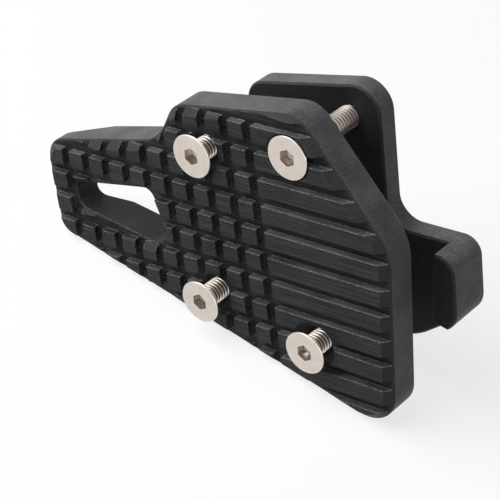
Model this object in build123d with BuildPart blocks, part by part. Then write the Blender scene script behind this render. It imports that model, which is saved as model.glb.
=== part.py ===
"""Brake pedal extension: a wide grip plate that is clamped over a motorbike's brake pedal pad.

The grip plate faces -Y and stands on its long lower edge. The pad of the bike's pedal lies between
its back, the plane Y = 0, and a hooked clamp plate, and four countersunk screws draw the two together.
Outlines are drawn in a sketch frame whose x runs along the grip's grooves, turned about Y by the angle
between those grooves and the long lower edge. Its origin lies between the four screws.
All sizes are in millimetres.
"""
from build123d import *
import os
from math import cos, radians, sin, tan

# Screws: M6 countersunk, hexagon socket
screw_radius = 3.0
screw_length = 35.0
head_radius = 5.75
head_land = 0.4
head_edge = 0.2
head_angle = 90.0
socket_across_flats = 4.0
socket_depth = 2.6
socket_point_angle = 120.0
tip_chamfer = 0.7

# Each screw: its place in the sketch frame, how far its head stands out of the grip face
# and the direction of one corner of its socket
screws = {
    "screw_upper_left": (-14.4, 20.2, 2.95, 86.0),
    "screw_upper_right": (13.7, 24.9, 0.1, 83.0),
    "screw_lower_left": (-17.4, -20.95, 4.85, 86.0),
    "screw_lower_right": (14.75, -26.7, 4.0, 88.0),
}

# Grip plate: how long the arm is beyond its shoulder, how far the grip drops to its lowest corner,
# and its outline corners as x, y and radius
arm_length = 41.6
grip_drop = 47.6
groove_tilt = 16.0
plate_thickness = 12.0
front_bevel = 2.2
back_bevel = 2.0
arm_shoulder = (-29.9, 19.1, 12.5)
arm_tip = arm_shoulder[0] - arm_length
plate_corners = [
    (arm_tip, 10.2, 7.7),
    arm_shoulder,
    (-22.7, 30.6, 8.2),
    (17.0, 36.0, 7.2),
    (39.8, 5.3, 14.5),
    (35.9, -grip_drop, 9.2),
    (arm_tip, -16.8, 6.7),
]
hole_clearance = 0.3
recess_clearance = 0.7

# Grooves of the grip: rows across the whole face, columns only to the left of the ribs
groove_pitch = 7.2
groove_width = 2.8
groove_depth = 1.8
last_column = 1.9
column_count = 10
top_row = 32.4
row_count = 11

# Arm: a wedge-shaped window that leaves a wall at the tip, and a back that thins towards the tip
tip_wall = 8.8
window_corners = [
    (arm_tip + tip_wall, -0.4, 3.1),
    (-35.4, 4.1, 3.0),
    (-29.9, -13.4, 5.0),
    (arm_tip + tip_wall, -7.6, 3.1),
]
window_bevel = 2.0
taper_length = 18.5
tip_thickness = 6.4

# Clamp plate, with a lip that reaches round the end of the pedal's pad
pad_gap = 12.2
clamp_thickness = 6.0
clamp_edge = 0.5
clamp_corners = [
    (-17.8, 27.9, 6.5),
    (23.4, 34.8, 7.0),
    (22.3, -3.3, 6.5),
    (45.7, -3.3, 4.5),
    (45.2, -22.0, 7.0),
    (23.5, -36.6, 20.0),
    (-26.3, -22.8, 7.0),
]
thread_clearance = 0.05
lip_height = 6.5
lip_clearance = 0.3
lip_flare = 1.2
lip_end = -23.0
lip_root = 1.0

# Cuts run past the surfaces that they open
overcut = 5.0
reach = 200.0

tilt = radians(groove_tilt)
across = (cos(tilt), 0, sin(tilt))
up_grip = (-sin(tilt), 0, cos(tilt))
outward = (0, -1, 0)


def face_plane(depth):
    """Sketch plane parallel to the grip, at one Y of the part, seen from the grip's side."""
    return Plane(origin=(0, depth, 0), x_dir=across, z_dir=outward)


def outline(corners):
    """Closed line through the corners, each rounded to its own radius."""
    points = [(x, y) for x, y, radius in corners]
    return FilletPolyline(*points, radius=[radius for x, y, radius in corners], close=True)


def plate_side(y):
    """The x of the grip plate's right edge at one y."""
    top_x, top_y, radius = plate_corners[4]
    bottom_x, bottom_y, radius = plate_corners[5]
    return top_x + (bottom_x - top_x) * (y - top_y) / (bottom_y - top_y)


def lip_root_edges(plate):
    """Edge in the corner between the clamp plate and the inner face of its lip."""
    near_face = plate.faces().filter_by(Plane.XZ).sort_by(Axis.Y)[1]
    lip_walls = plate.faces().filter_by(lambda face: face.center().Y < pad_gap - lip_height / 4)
    inner_wall = lip_walls.filter_by(lambda face: abs(face.normal_at().Y) < 0.01).sort_by(SortBy.AREA)[-1]
    return [edge for edge in near_face.edges() if edge in inner_wall.edges()]


seat_plane = face_plane(0)
grip_plane = face_plane(-plate_thickness)
clamp_near_plane = face_plane(pad_gap)
clamp_far_plane = face_plane(pad_gap + clamp_thickness)
lip_plane = face_plane(pad_gap - lip_height)
hole_places = [(x, y) for x, y, stand_out, corner in screws.values()]
hole_radius = screw_radius + hole_clearance
recess_radius = head_radius + recess_clearance
thread_radius = screw_radius + thread_clearance

# Grip plate, milled from one piece
with BuildPart() as pedal_plate:
    with BuildSketch(seat_plane):
        with BuildLine():
            outline(plate_corners)
        make_face()
    extrude(amount=plate_thickness)
    chamfer(pedal_plate.faces().sort_by(Axis.Y)[0].edges(), length=front_bevel)

    # The arm's back slopes from a fold to the tip
    taper_start = arm_tip + taper_length
    far_x = arm_tip - overcut
    far_depth = (plate_thickness - tip_thickness) / taper_length * (taper_start - far_x)
    with BuildSketch(Plane(origin=(0, 0, 0), x_dir=across, z_dir=up_grip)):
        with BuildLine():
            Polyline(
                (taper_start, 0),
                (far_x, -far_depth),
                (far_x, overcut),
                (taper_start, overcut),
                close=True,
            )
        make_face()
    extrude(amount=reach, both=True, mode=Mode.SUBTRACT)
    back_faces = pedal_plate.faces().filter_by(lambda face: face.normal_at().Y > 0.5)
    fold = [edge for edge in back_faces[0].edges() if edge in back_faces[1].edges()]
    back_rim = [edge for edge in back_faces.edges() if edge not in fold]
    chamfer(back_rim, length=back_bevel)

    with BuildSketch(seat_plane):
        with BuildLine():
            outline(window_corners)
        make_face()
    extrude(amount=plate_thickness, mode=Mode.SUBTRACT)
    window_walls = pedal_plate.faces(Select.LAST).filter_by(lambda face: abs(face.normal_at().Y) < 0.01)
    window_rims = window_walls.edges().filter_by(Axis.Y, reverse=True)
    chamfer(window_rims.filter_by(lambda edge: edge.center().Y < window_bevel - plate_thickness), window_bevel)

    with BuildSketch(grip_plane):
        with Locations([(0, top_row - groove_pitch * row) for row in range(row_count)]):
            Rectangle(reach, groove_width)
        with Locations([(last_column - groove_pitch * column, 0) for column in range(column_count)]):
            Rectangle(groove_width, reach)
    extrude(amount=-groove_depth, mode=Mode.SUBTRACT)

    with Locations([grip_plane * Location((x, y, 0)) for x, y in hole_places]):
        CounterSinkHole(hole_radius, recess_radius, plate_thickness, head_angle)
    pedal_plate.part.label = "pedal_plate"

# Clamp plate: threaded for the screws, its lip stands up towards the grip plate
with BuildPart() as clamp_plate:
    with BuildSketch(clamp_far_plane):
        with BuildLine():
            outline(clamp_corners)
        make_face()
    extrude(amount=clamp_thickness)
    chamfer(clamp_plate.faces().filter_by(Plane.XZ).edges(), length=clamp_edge)

    # The lip keeps to the plate's outline on its outer side and runs down past its chamfer
    with BuildSketch(lip_plane):
        with BuildLine():
            outline(clamp_corners)
        make_face()
        lip_start = plate_corners[4][1]
        inner_top = plate_side(lip_start) + lip_clearance + lip_flare
        inner_bottom = plate_side(lip_end) + lip_clearance
        with BuildLine():
            Polyline(
                (inner_top, lip_start),
                (reach, lip_start),
                (reach, lip_end - (reach - inner_bottom) * tan(tilt)),
                (inner_bottom, lip_end),
                close=True,
            )
        make_face(mode=Mode.INTERSECT)
    extrude(amount=-(lip_height + clamp_edge))
    chamfer(clamp_plate.faces().sort_by(Axis.Y)[0].edges(), length=clamp_edge)
    fillet(lip_root_edges(clamp_plate), radius=lip_root)

    with Locations([clamp_near_plane * Location((x, y, 0)) for x, y in hole_places]):
        Hole(thread_radius)
    clamp_plate.part.label = "clamp_plate"

os.makedirs("parts", exist_ok=True)
export_step(pedal_plate.part, "parts/pedal_plate.step")
export_step(clamp_plate.part, "parts/clamp_plate.step")

# Screws, each turned on its own axis as it was left
cone_height = (head_radius - screw_radius) / tan(radians(head_angle / 2))
socket_radius = socket_across_flats / 2
socket_point = socket_radius / tan(radians(socket_point_angle / 2))
for name, (x, y, stand_out, corner) in screws.items():
    head = face_plane(-plate_thickness - stand_out).from_local_coords((x, y, 0))
    head_plane = Plane(origin=head, x_dir=across, z_dir=outward)
    with BuildPart() as screw:
        with BuildSketch(Plane(origin=head, x_dir=across, z_dir=up_grip)):
            with BuildLine():
                Polyline(
                    (0, 0),
                    (head_radius - head_edge, 0),
                    (head_radius, head_edge),
                    (head_radius, head_land),
                    (screw_radius, head_land + cone_height),
                    (screw_radius, screw_length - tip_chamfer),
                    (screw_radius - tip_chamfer, screw_length),
                    (0, screw_length),
                    close=True,
                )
            make_face()
        revolve(axis=Axis(head, outward))

        # Socket with the conical bottom of the hole it was broached from
        with BuildSketch(head_plane):
            RegularPolygon(socket_radius, 6, major_radius=False, rotation=corner)
        extrude(amount=-socket_depth, mode=Mode.SUBTRACT)
        with Locations(head_plane.offset(-socket_depth).location * Location((0, 0, 0), (180, 0, 0))):
            Cone(
                socket_radius,
                0,
                socket_point,
                align=(Align.CENTER, Align.CENTER, Align.MIN),
                mode=Mode.SUBTRACT,
            )
        screw.part.label = name
        export_step(screw.part, f"parts/{name}.step")
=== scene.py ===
# %% [markdown]
# # A brake pedal extension in black and steel
# The real object is two aluminium plates, milled and anodised black, and four stainless steel screws.
# The plates arrive as measured solids, so their outlines and grooves are right before we begin.
# Our work is what a workshop does last: the threads, the sockets, the finishes and the light.

from math import cos, pi, radians, tan

import bpy
from mathutils import Matrix, Vector


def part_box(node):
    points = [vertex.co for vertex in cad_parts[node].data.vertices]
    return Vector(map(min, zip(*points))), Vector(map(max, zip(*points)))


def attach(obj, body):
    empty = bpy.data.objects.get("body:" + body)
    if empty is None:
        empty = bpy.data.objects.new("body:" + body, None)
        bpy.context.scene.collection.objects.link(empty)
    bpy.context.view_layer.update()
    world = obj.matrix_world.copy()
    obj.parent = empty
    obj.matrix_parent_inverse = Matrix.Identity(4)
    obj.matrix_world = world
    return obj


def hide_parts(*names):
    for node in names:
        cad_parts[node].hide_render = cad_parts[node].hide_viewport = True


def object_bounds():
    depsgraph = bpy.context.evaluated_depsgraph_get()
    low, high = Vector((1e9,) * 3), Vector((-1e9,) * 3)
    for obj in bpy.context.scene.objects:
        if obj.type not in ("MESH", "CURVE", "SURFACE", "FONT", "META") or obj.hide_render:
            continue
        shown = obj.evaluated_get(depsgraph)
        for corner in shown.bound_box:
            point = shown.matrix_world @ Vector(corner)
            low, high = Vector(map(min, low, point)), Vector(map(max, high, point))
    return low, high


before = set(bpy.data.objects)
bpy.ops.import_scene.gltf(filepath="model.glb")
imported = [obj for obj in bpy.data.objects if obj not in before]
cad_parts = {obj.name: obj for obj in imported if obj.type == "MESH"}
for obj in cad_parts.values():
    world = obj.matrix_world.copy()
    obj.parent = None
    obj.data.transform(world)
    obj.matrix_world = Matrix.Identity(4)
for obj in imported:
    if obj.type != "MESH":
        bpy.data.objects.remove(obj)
cad_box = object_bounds()
bpy.ops.object.select_all(action="DESELECT")
mm = 0.001
scene = bpy.context.scene
scene.view_settings.view_transform = "Standard"
print("nodes:", sorted(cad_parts))

# %% [markdown]
# ## The camera
# A small product is photographed from about half a metre with a long lens, which keeps its edges almost
# parallel. The camera looks at a point on the grip, so we name that point, the distance, and three angles:
# how far round, how far up, and how much the camera is rolled. A rolled camera makes the long lower edge
# climb across the picture. The angles are turned one after the other, roll first.

# %% Camera
look_at = Vector((-0.93, -12.0, -4.55)) * mm
camera_distance = 468.1 * mm
azimuth, elevation, roll = radians(34.75), radians(39.71), radians(7.01)
lens_length, sensor_width = 137.8, 36.0

turn = Matrix.Rotation(azimuth, 3, "Z")
turn = turn @ Matrix.Rotation(pi / 2 - elevation, 3, "X")
turn = turn @ Matrix.Rotation(roll, 3, "Z")
camera_place = look_at + turn @ Vector((0, 0, camera_distance))
bpy.ops.object.camera_add(location=camera_place, rotation=turn.to_euler())
camera = bpy.context.object
camera.name = "photo_camera"
camera.data.lens = lens_length
camera.data.sensor_width = sensor_width
camera.data.clip_start = 10 * mm
scene.camera = camera
print("camera at", [round(value / mm) for value in camera.location], "mm")

# %% [markdown]
# ## A small set of tools for materials
# Every finish here is a tree of shader nodes. Four helpers keep the trees readable: one starts a material,
# one adds a node with its settings, one links a node to a shader, and one turns the coordinates so that
# they run along the grip's grooves. Positions are read in millimetres, so a scale of 2 in a noise means two
# grains to a millimetre.

# %% Material helpers
groove_tilt = radians(16.0)


def new_material(name):
    """A material with only its output and surface shader, and the shader."""
    material = bpy.data.materials.new(name)
    material.use_nodes = True
    return material, material.node_tree.nodes["Principled BSDF"]


def add_node(material, kind, inputs=(), **settings):
    """Adds one node; an input takes a value, or another node's output to link from."""
    node = material.node_tree.nodes.new(kind)
    for name, value in settings.items():
        setattr(node, name, value)
    for name, value in dict(inputs).items():
        if isinstance(value, bpy.types.NodeSocket):
            material.node_tree.links.new(value, node.inputs[name])
        else:
            node.inputs[name].default_value = value
    return node


def link(material, output, shader, name):
    """Gives one input of a shader what another node puts out."""
    material.node_tree.links.new(output, shader.inputs[name])


def groove_coordinates(material, stretch=(1, 1, 1)):
    """Object position in millimetres, with x along the grip's grooves and z across them."""
    position = add_node(material, "ShaderNodeTexCoord").outputs["Object"]
    turned = add_node(
        material,
        "ShaderNodeMapping",
        {"Vector": position, "Rotation": (0, groove_tilt, 0), "Scale": (1 / mm, 1 / mm, 1 / mm)},
    )
    scaled = add_node(
        material,
        "ShaderNodeVectorMath",
        {0: turned.outputs["Vector"], 1: stretch},
        operation="MULTIPLY",
    )
    return scaled.outputs["Vector"]


# %% [markdown]
# ## Sums, ramps and grain
# A finish is mostly arithmetic: which way a surface faces, how far a point is from an axis, how coarse a
# grain is. We could place each node by hand, but the same few kinds come back in every finish, so each kind
# gets a short name.

# %% Arithmetic for finishes
grain_middle = 0.5


def compute(material, operation, *values):
    """One step of arithmetic on one, two or three values."""
    node = add_node(material, "ShaderNodeMath", dict(enumerate(values)), operation=operation)
    return node.outputs["Value"]


def product(material, first, second):
    """Two values multiplied, which is one only where both are one."""
    return compute(material, "MULTIPLY", first, second)


def scaled_sum(material, first, weight, second):
    """One value times a weight, plus another value."""
    return compute(material, "MULTIPLY_ADD", first, weight, second)


def rest_of(material, value):
    """What a value leaves of one."""
    return compute(material, "SUBTRACT", 1.0, value)


def ramp(material, value, start, end, low=0.0, high=1.0):
    """Goes from low to high while the value goes from start to end, and stays there."""
    return add_node(
        material,
        "ShaderNodeMapRange",
        {"Value": value, "From Min": start, "From Max": end, "To Min": low, "To Max": high},
    ).outputs["Result"]


def grain_of(material, place, scale, detail, roughness=0.5):
    """Soft random grain between zero and one."""
    return add_node(
        material,
        "ShaderNodeTexNoise",
        {"Vector": place, "Scale": scale, "Detail": detail, "Roughness": roughness},
    ).outputs["Fac"]


def mixed(material, share, first, second):
    """The first colour where the share is zero, and the second where it is one."""
    return add_node(
        material,
        "ShaderNodeMix",
        {"Factor": share, "A": first, "B": second},
        data_type="RGBA",
    ).outputs["Result"]


def brightened(material, colour, brightness):
    """A colour made brighter or darker."""
    return add_node(
        material,
        "ShaderNodeVectorMath",
        {0: colour, "Scale": brightness},
        operation="SCALE",
    ).outputs["Vector"]


def raised(material, height, depth, **below):
    """A normal bumped by a height times a depth in millimetres, on top of a normal below it if any."""
    return add_node(
        material,
        "ShaderNodeBump",
        {"Height": height, "Strength": 1.0, "Distance": depth * mm, **below},
    ).outputs["Normal"]


# %% [markdown]
# ## Black anodised aluminium
# Milled aluminium is blasted with fine beads and then anodised, which leaves a thin, hard and slightly
# glassy black layer. Up close it has a grain of a few tenths of a millimetre. What the end mill swept last,
# the front and back of each plate, stays smoother, and there the cutter's path still shows as faint lines
# along the grooves. There are two blacks: one for the walls, and a much darker one that is painted shade,
# on the faces along Y with their bevels and on the walls of the arm's window, where little light falls.
# The surface normal's Y chooses between them, and a box round the window adds its walls. Real edges are
# broken by a hair, and the Bevel node gives the light that thin edge to catch. A painted highlight in
# specks makes an edge paler where its rounded normal points up or to the right, towards the lamps.

# %% Where the plates are swept, where shade is painted on them, and where their edges get a painted highlight
# How far a normal leans to Y on the swept front and back, and where the darker black paints shade on faces
# along Y with their bevels
swept_normal = {"start": 0.90, "end": 0.97}
shaded_normal_lean = {"start": 0.42, "end": 0.72}
soft_border = 1.0
# How much an edge facing right shares the painted highlight of one facing up
rightward_highlight = 0.35


def faces_y(material, start, end):
    """One where the surface faces along Y, front or back, and zero where it turns away from Y."""
    normal = add_node(material, "ShaderNodeNewGeometry").outputs["Normal"]
    normal_y = add_node(material, "ShaderNodeSeparateXYZ", {"Vector": normal}).outputs["Y"]
    return ramp(material, compute(material, "ABSOLUTE", normal_y), start, end)


def inside_span(material, value, low, high):
    """One where the value lies between two limits, with a soft border of a millimetre."""
    middle, half = (low + high) / 2, (high - low) / 2
    offset = compute(material, "ABSOLUTE", compute(material, "SUBTRACT", value, middle))
    return ramp(material, offset, start=half, end=half - soft_border)


def inside_window(material, place, along, across):
    """One in a box round the arm's window, given by its spans along the grooves and across them."""
    parts = add_node(material, "ShaderNodeSeparateXYZ", {"Vector": place}).outputs
    in_length = inside_span(material, parts["X"], *along)
    return product(material, in_length, inside_span(material, parts["Z"], *across))


def painted_edge_highlight(material, rounded, grain):
    """One in specks on an edge that faces up or right, where a highlight is painted."""
    flat = add_node(material, "ShaderNodeNewGeometry").outputs["Normal"]
    bend = add_node(material, "ShaderNodeVectorMath", {0: rounded, 1: flat}, operation="DOT_PRODUCT")
    at_edge = ramp(material, bend.outputs["Value"], start=0.99, end=0.85)
    facing = add_node(material, "ShaderNodeSeparateXYZ", {"Vector": rounded}).outputs
    upward = scaled_sum(material, facing["X"], rightward_highlight, facing["Z"])
    upward = ramp(material, upward, start=0.05, end=0.6)
    specks = ramp(material, grain, start=0.44, end=0.56)
    return product(material, product(material, at_edge, upward), specks)


# %% Anodised aluminium
# The grey of the painted highlight on edges that face up or right
highlight_grey = (0.44, 0.44, 0.44, 1)
glassy_layer = 0.22
# The cutter's lines are drawn out along the grooves, where one unit of grain is 25 mm long
cutter_path = (0.04, 1.0, 1.5)
# How much of the painted shade the walls of the window take
window_shade = 0.9
swept_grain_loss = 0.5
cloud_weight = 0.5
grain_depth = 0.18
edge_radius = 0.3


def anodised(name, painted_shade_black, blasted, line_tone, line_depth, window=None):
    """Black anodised aluminium: its wall black, a darker black painted as shade on faces along Y, how much
    the cutter's lines colour it and how deep they are in millimetres, and the spans of a window shaded the
    same way."""
    material, shader = new_material(name)
    shader.inputs["Specular IOR Level"].default_value = glassy_layer
    place = groove_coordinates(material)
    path = groove_coordinates(material, cutter_path)
    grain = grain_of(material, place, scale=3.2, detail=3.0, roughness=0.6)
    lines = grain_of(material, path, scale=1.0, detail=4.0, roughness=0.65)
    clouds = grain_of(material, place, scale=0.11, detail=2.0)
    on_swept = faces_y(material, **swept_normal)
    # Where the darker black paints shade: faces along Y with their bevels, and the window's walls
    painted_shade_share = faces_y(material, **shaded_normal_lean)
    if window:
        in_window = inside_window(material, place, *window)
        painted_shade_share = compute(material, "MAXIMUM", painted_shade_share, product(material, in_window, window_shade))

    shown_lines = compute(material, "SUBTRACT", lines, grain_middle)
    shown_lines = product(material, shown_lines, on_swept)
    shown_grain = compute(material, "SUBTRACT", grain, grain_middle)
    shown_grain = product(material, shown_grain, scaled_sum(material, on_swept, -swept_grain_loss, 1.0))
    shade = scaled_sum(material, shown_lines, line_tone, shown_grain)
    shade = scaled_sum(material, clouds, cloud_weight, shade)
    brightness = ramp(material, shade, start=0.05, end=0.45, low=0.1, high=1.9)
    # The darker black is painted shade where little light falls
    black = brightened(material, mixed(material, painted_shade_share, blasted, painted_shade_black), brightness)

    rounded = add_node(material, "ShaderNodeBevel", {"Radius": edge_radius * mm}, samples=8)
    rounded = rounded.outputs["Normal"]
    # A painted highlight in specks on the edges that face up or right
    speck_highlight = painted_edge_highlight(material, rounded, grain)
    link(material, mixed(material, speck_highlight, black, highlight_grey), shader, "Base Color")
    roughness = ramp(material, grain, start=0.3, end=0.7, low=0.40, high=0.58)
    link(material, roughness, shader, "Roughness")
    lined = raised(material, product(material, lines, on_swept), line_depth, Normal=rounded)
    link(material, raised(material, grain, grain_depth, Normal=lined), shader, "Normal")
    return material


# %% Finishes of the two plates
plate_finishes = {
    "pedal_plate": anodised(
        "black_grip",
        # The darker black is painted shade on the faces along Y and the window's walls
        painted_shade_black=(0.014, 0.014, 0.015, 1),
        blasted=(0.071, 0.071, 0.073, 1),
        line_tone=1.8,
        line_depth=0.40,
        window=((-64.5, -28.5), (-14.6, 6.2)),
    ),
    "clamp_plate": anodised(
        "black_clamp",
        # The darker black is painted shade on the faces along Y
        painted_shade_black=(0.010, 0.010, 0.011, 1),
        blasted=(0.086, 0.086, 0.089, 1),
        line_tone=0.3,
        line_depth=0.06,
    ),
}
for node_name, finish in plate_finishes.items():
    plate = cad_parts[node_name]
    plate.data.materials.clear()
    plate.data.materials.append(finish)
    print(node_name, "wears", finish.name)

# %% [markdown]
# ## Turned stainless steel
# The screws are bright and a little warm. Their flat heads are turned on a lathe and carry fine rings round
# the axis. Their threads are rolled, which leaves them rougher. A painted sheen raises the colour of all
# but the flat face, and painted shade darkens what lies deep: the roots of the thread, the socket and the
# cone under the head, so the crests stay bright. Each screw keeps a UV map that holds a point's two
# distances from the screw's own axis, in millimetres. The length of that vector is the radius. A grain that
# changes only with the radius gives the rings, and the radius also tells a root from a crest. A UV map
# travels with the piece when the screw slides, while an Object coordinate would need a centre for each
# screw.

# %% Stainless steel
dull_steel, bright_steel = (0.58, 0.52, 0.465, 1), (0.70, 0.635, 0.575, 1)
# Radii in millimetres over which one kind of surface gives way to the next
socket_end = {"start": 2.30, "end": 2.36}
root_end = {"start": 2.80, "end": 2.50}
cone_begin = {"start": 2.98, "end": 3.10}
cone_end = {"start": 5.60, "end": 5.40}
# How much painted shade darkens the thread's roots, the socket and the cone under the head
root_shade, socket_shade, cone_shade = 1.2, 0.65, 0.4
# A painted sheen: the colour of all but the flat face is raised by this share
painted_sheen = 0.45
turned_smoothness = 0.14
ring_depth = 0.004


def painted_shade_in_depths(material, radius, off_face):
    """How much painted shade darkens the thread's roots, the socket and the cone under the head."""
    past_socket = ramp(material, radius, **socket_end)
    in_root = product(material, past_socket, ramp(material, radius, **root_end))
    on_cone = product(material, ramp(material, radius, **cone_begin), ramp(material, radius, **cone_end))
    in_socket = product(material, rest_of(material, past_socket), off_face)
    depth_shade = product(material, in_socket, socket_shade)
    depth_shade = scaled_sum(material, product(material, in_root, off_face), root_shade, depth_shade)
    return scaled_sum(material, product(material, on_cone, off_face), cone_shade, depth_shade)


def stainless(name):
    """Turned stainless steel, with its rings read from the piece's own UV map."""
    material, shader = new_material(name)
    shader.inputs["Metallic"].default_value = 1.0
    from_axis = add_node(material, "ShaderNodeUVMap", uv_map="from_axis").outputs["UV"]
    radius = add_node(material, "ShaderNodeVectorMath", {0: from_axis}, operation="LENGTH")
    radius = radius.outputs["Value"]
    rings = add_node(
        material,
        "ShaderNodeTexNoise",
        {"W": radius, "Scale": 3.0, "Detail": 3.0},
        noise_dimensions="1D",
    ).outputs["Fac"]
    stains = grain_of(material, groove_coordinates(material), scale=0.5, detail=3.0)
    share = ramp(material, compute(material, "ADD", rings, stains), start=0.6, end=1.4)
    colour = mixed(material, share, dull_steel, bright_steel)

    turned_face = faces_y(material, **swept_normal)
    off_face = rest_of(material, turned_face)
    # Painted shade in the depths, and a painted sheen on all but the flat face
    unshaded = rest_of(material, painted_shade_in_depths(material, radius, off_face))
    # A painted sheen lifts the colour of all but the flat face
    brightness = scaled_sum(material, off_face, painted_sheen, unshaded)
    link(material, brightened(material, colour, brightness), shader, "Base Color")
    rolled_rough = ramp(material, rings, start=0.3, end=0.7, low=0.30, high=0.42)
    roughness = scaled_sum(material, turned_face, -turned_smoothness, rolled_rough)
    link(material, roughness, shader, "Roughness")
    link(material, raised(material, rings, ring_depth), shader, "Normal")
    return material


steel = stainless("turned_steel")

# %% [markdown]
# ## Turning the head
# A lathe makes a screw's head by moving a tool along a profile, and Blender can do the same: one vertex is
# drawn out into the profile and spun round the axis. A cylinder with a bevelled rim would also do, but the
# profile holds every diameter of the real head in one list that can be read and changed. The head is made
# standing up, with its flat face at height zero and its axis on Z.

# %% Profile and spin helpers
head_radius, shank_radius = 5.75, 3.0
head_land, head_edge = 0.4, 0.2
screw_length = 35.0
cone_height = head_radius - shank_radius
merge_gap = 0.001 * mm


def draw_profile(name, points):
    """Draws one vertex out through points given as radius and height in millimetres."""
    bpy.ops.mesh.primitive_plane_add(size=mm)
    profile = bpy.context.object
    profile.name = name
    bpy.ops.object.mode_set(mode="EDIT")
    bpy.ops.mesh.select_all(action="SELECT")
    bpy.ops.mesh.merge(type="CENTER")
    here = Vector((0, 0))
    for number, point in enumerate(points):
        step = (Vector(point) - here) * mm
        move = (step.x, 0, step.y)
        if number == 0:
            bpy.ops.transform.translate(value=move)
        else:
            bpy.ops.mesh.extrude_vertices_move(TRANSFORM_OT_translate={"value": move})
        here = Vector(point)
    bpy.ops.object.mode_set(mode="OBJECT")
    return profile


def close_up(piece):
    """Merges doubled vertices and turns all faces outwards."""
    bpy.ops.object.select_all(action="DESELECT")
    piece.select_set(True)
    bpy.context.view_layer.objects.active = piece
    bpy.ops.object.mode_set(mode="EDIT")
    bpy.ops.mesh.select_all(action="SELECT")
    bpy.ops.mesh.remove_doubles(threshold=merge_gap)
    bpy.ops.mesh.normals_make_consistent(inside=False)
    bpy.ops.object.mode_set(mode="OBJECT")


# %% Head
# A ring on each flat face keeps the cuts of the socket near the middle
face_ring, shank_ring = 4.4, 2.3
edge_bend = head_edge / 3
rim_break = 0.12
cone_bottom = -head_land - cone_height
head_steps = 72

head = draw_profile(
    "turned_head",
    [
        (0, 0),
        (face_ring, 0),
        (head_radius - head_edge, 0),
        (head_radius - edge_bend, -edge_bend),
        (head_radius, -head_edge),
        (head_radius, -head_land),
        (head_radius - rim_break, -head_land - rim_break),
        (shank_radius, cone_bottom),
        (shank_ring, cone_bottom),
        (0, cone_bottom),
    ],
)
bpy.ops.object.mode_set(mode="EDIT")
bpy.ops.mesh.select_all(action="SELECT")
bpy.ops.mesh.spin(steps=head_steps, angle=2 * pi, center=(0, 0, 0), axis=(0, 0, 1))
bpy.ops.object.mode_set(mode="OBJECT")
close_up(head)
print("head faces:", len(head.data.polygons))

# %% [markdown]
# ## Broaching the socket
# A hexagon socket starts as a drilled hole with a pointed bottom, and a broach then pushes the six flats
# into it. The two steps are two cutters, and each is taken away with a Boolean modifier, which is the
# nearest thing to the press in the workshop. Blender's six-sided cylinder has a corner on Y, and a twelfth
# of a turn brings one onto X, from where each screw's own turn is counted.

# %% Cutters
socket_across_flats, socket_depth = 4.0, 2.6
drill_radius = socket_across_flats / 2
drill_point_angle = radians(120.0)
drill_point = drill_radius / tan(drill_point_angle / 2)
drill_steps = 48
# A side of the hexagon spans twice this angle, which is also the turn that brings a corner onto X
half_side = radians(30.0)
hexagon_radius = drill_radius / cos(half_side)
above = 1.0


def cut(piece, cutter):
    """Takes the cutter away from the piece, and deletes it."""
    bpy.context.view_layer.objects.active = piece
    modifier = piece.modifiers.new("cut", "BOOLEAN")
    modifier.operation = "DIFFERENCE"
    modifier.solver = "EXACT"
    modifier.object = cutter
    bpy.ops.object.modifier_apply(modifier=modifier.name)
    bpy.data.objects.remove(cutter)


bpy.ops.mesh.primitive_cylinder_add(
    vertices=6,
    radius=hexagon_radius * mm,
    depth=(socket_depth + above) * mm,
    location=(0, 0, (above - socket_depth) / 2 * mm),
    rotation=(0, 0, half_side),
)
cut(head, bpy.context.object)
bpy.ops.mesh.primitive_cone_add(
    vertices=drill_steps,
    radius1=0,
    radius2=drill_radius * mm,
    depth=drill_point * mm,
    location=(0, 0, (-socket_depth - drill_point / 2) * mm),
)
cut(head, bpy.context.object)
print("head faces with its socket:", len(head.data.polygons))

# %% [markdown]
# ## Rolling the thread
# An M6 thread climbs 1 mm in each turn, and its flanks meet at 60 degrees. The Screw modifier sweeps one
# pitch of that profile round the axis and lifts it by one pitch a turn, which gives a true helix. It runs
# past both ends of the shank, and two bisecting cuts with a fill then give it flat, closed ends. At the tip
# the real thread is chamfered, so vertices near the end are drawn in to a cone.

# %% Thread
pitch = 1.0
crest_radius = 2.93
thread_depth = 0.6134 * pitch
root_radius = crest_radius - thread_depth
crest_flat, root_flat = pitch / 8, pitch / 4
flank = (pitch - crest_flat - root_flat) / 2
tip_chamfer = 0.7
# The thread begins a little way up inside the head, and its flat top ends the drilled point there
sunk_in_head = 0.25
thread_top = cone_bottom + sunk_in_head
crest_start = -screw_length - pitch
root_start = crest_start + crest_flat + flank
turns = int(screw_length / pitch)
turn_steps = 32

thread = draw_profile(
    "rolled_thread",
    [
        (crest_radius, crest_start),
        (crest_radius, crest_start + crest_flat),
        (root_radius, root_start),
        (root_radius, root_start + root_flat),
        (crest_radius, crest_start + pitch),
    ],
)
helix = thread.modifiers.new("helix", "SCREW")
helix.axis = "Z"
helix.angle = 2 * pi
helix.screw_offset = pitch * mm
helix.iterations = turns
helix.steps = helix.render_steps = turn_steps
helix.use_merge_vertices = True
helix.merge_threshold = merge_gap
bpy.context.view_layer.objects.active = thread
bpy.ops.object.modifier_apply(modifier=helix.name)
close_up(thread)
bpy.ops.object.mode_set(mode="EDIT")
for height, clear_inner in ((thread_top, False), (-screw_length, True)):
    bpy.ops.mesh.select_all(action="SELECT")
    bpy.ops.mesh.bisect(
        plane_co=(0, 0, height * mm),
        plane_no=(0, 0, 1),
        threshold=merge_gap,
        use_fill=True,
        clear_inner=clear_inner,
        clear_outer=not clear_inner,
    )
bpy.ops.object.mode_set(mode="OBJECT")
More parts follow.
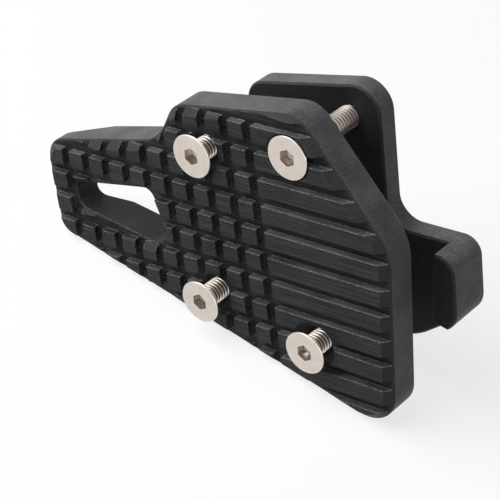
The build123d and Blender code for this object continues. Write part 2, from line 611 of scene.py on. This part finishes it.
for vertex in thread.data.vertices:
    radius = vertex.co.xy.length
    widest = shank_radius * mm - tip_chamfer * mm + (vertex.co.z + screw_length * mm)
    if radius > widest:
        vertex.co.xy *= widest / radius
close_up(thread)
print("thread faces:", len(thread.data.polygons))

# %% [markdown]
# ## Four screws from one
# The head and the thread are joined, shaded smooth except at real edges, and given the UV map of distances
# from the axis. What repeats is modelled once and copied, and each copy gets its own mesh, its own turn of
# the hexagon, and the place of the solid that it stands for. The heads stand out by different amounts,
# because all but one of the screws are only part way in.

# %% One screw
smooth_below = radians(35.0)

bpy.ops.object.select_all(action="DESELECT")
thread.select_set(True)
head.select_set(True)
bpy.context.view_layer.objects.active = head
bpy.ops.object.join()
bpy.ops.object.shade_smooth_by_angle(angle=smooth_below)
head.data.uv_layers.new(name="from_axis")
uv = head.data.uv_layers["from_axis"].data
for loop in head.data.loops:
    uv[loop.index].uv = head.data.vertices[loop.vertex_index].co.xy / mm
head.data.materials.clear()
head.data.materials.append(steel)

# %% Copies in place
# Degrees from the X axis up to one corner of each socket
hexagon_corners = {
    "screw_upper_left": 102.0,
    "screw_upper_right": 99.0,
    "screw_lower_left": 102.0,
    "screw_lower_right": 104.0,
}
for node_name, corner in hexagon_corners.items():
    low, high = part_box(node_name)
    centre = (low + high) / 2
    screw = head.copy()
    screw.data = head.data.copy()
    screw.name = node_name + "_threaded"
    scene.collection.objects.link(screw)
    place = Matrix.Translation((centre.x, low.y, centre.z))
    lying = Matrix.Rotation(pi / 2, 4, "X")
    screw.data.transform(place @ lying @ Matrix.Rotation(radians(corner), 4, "Z"))
    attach(screw, node_name)
    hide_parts(node_name)
    print(screw.name, "head at", [round(value / mm, 1) for value in (centre.x, low.y, centre.z)])
bpy.data.objects.remove(head)

# %% [markdown]
# ## The table and the light
# The photograph was made on a white table under broad, soft light. A white table matters more than it
# seems: the grip and the screws' heads face it, so it is what they mirror. The floor is a large plane at
# the lowest point of the object. Its own colour is a mid grey, which keeps the soft shadow and throws
# little light back up. A glow that only the camera and shiny surfaces see takes it to white, and the room
# behind it is lit the same way. A world has a tree of nodes as a material has, so the same helpers fill it.

# %% Floor
table_size = 6.0
table_grey = (0.22, 0.22, 0.22, 1)
table_roughness, table_gloss = 0.9, 0.1
table_glow = 0.76


def seen_rays(owner):
    """One for a ray that shows a thing to the camera, straight or by a shiny or clear surface."""
    rays = add_node(owner, "ShaderNodeLightPath").outputs
    seen = compute(owner, "MAXIMUM", rays["Is Camera Ray"], rays["Is Glossy Ray"])
    return compute(owner, "MAXIMUM", seen, rays["Is Transmission Ray"])


floor_level = cad_box[0].z
bpy.ops.mesh.primitive_plane_add(size=table_size, location=(0, 0, floor_level))
floor = bpy.context.object
floor.name = "white_table"
table_white, table_shader = new_material("table_white")
table_shader.inputs["Base Color"].default_value = table_grey
table_shader.inputs["Roughness"].default_value = table_roughness
table_shader.inputs["Specular IOR Level"].default_value = table_gloss
table_shader.inputs["Emission Color"].default_value = (1, 1, 1, 1)
glow = product(table_white, seen_rays(table_white), table_glow)
link(table_white, glow, table_shader, "Emission Strength")
floor.data.materials.append(table_white)
print("table at", round(floor_level / mm, 2), "mm")

# %% World
room_light, room_seen = 0.09, 1.1
room_colour = (0.94, 0.93, 1, 1)

world = bpy.data.worlds.new("white_room")
scene.world = world
world.use_nodes = True
background = world.node_tree.nodes["Background"]
background.inputs["Color"].default_value = room_colour
strength = ramp(world, seen_rays(world), start=0.0, end=1.0, low=room_light, high=room_seen)
link(world, strength, background, "Strength")

# %% [markdown]
# ## Softboxes
# One large softbox hangs high above the object, to its left and front. It makes the upper walls of the
# plates grey, catches the upper edge of each raised square, and leaves the grip dark. A second one is
# small, weak and a little blue, and stands low at the right, where it lifts the right-hand walls out of the
# dark. Each is an area light that is aimed by turning its own -Z axis towards the object.


# %% Softboxes
def softbox(name, location, size, power, colour=(1, 1, 1)):
    """A square area light at a place in metres, aimed at the middle of the object."""
    aim = Vector(location).to_track_quat("Z", "Y").to_euler()
    bpy.ops.object.light_add(type="AREA", location=location, rotation=aim)
    lamp = bpy.context.object
    lamp.name = name
    lamp.data.shape = "SQUARE"
    lamp.data.size = size
    lamp.data.energy = power
    lamp.data.color = colour


softbox("softbox_above", location=(-0.54, -0.42, 0.73), size=1.0, power=16.0)
softbox("softbox_right", location=(0.95, -0.05, 0.30), size=0.5, power=0.85, colour=(0.92, 0.91, 1.0))
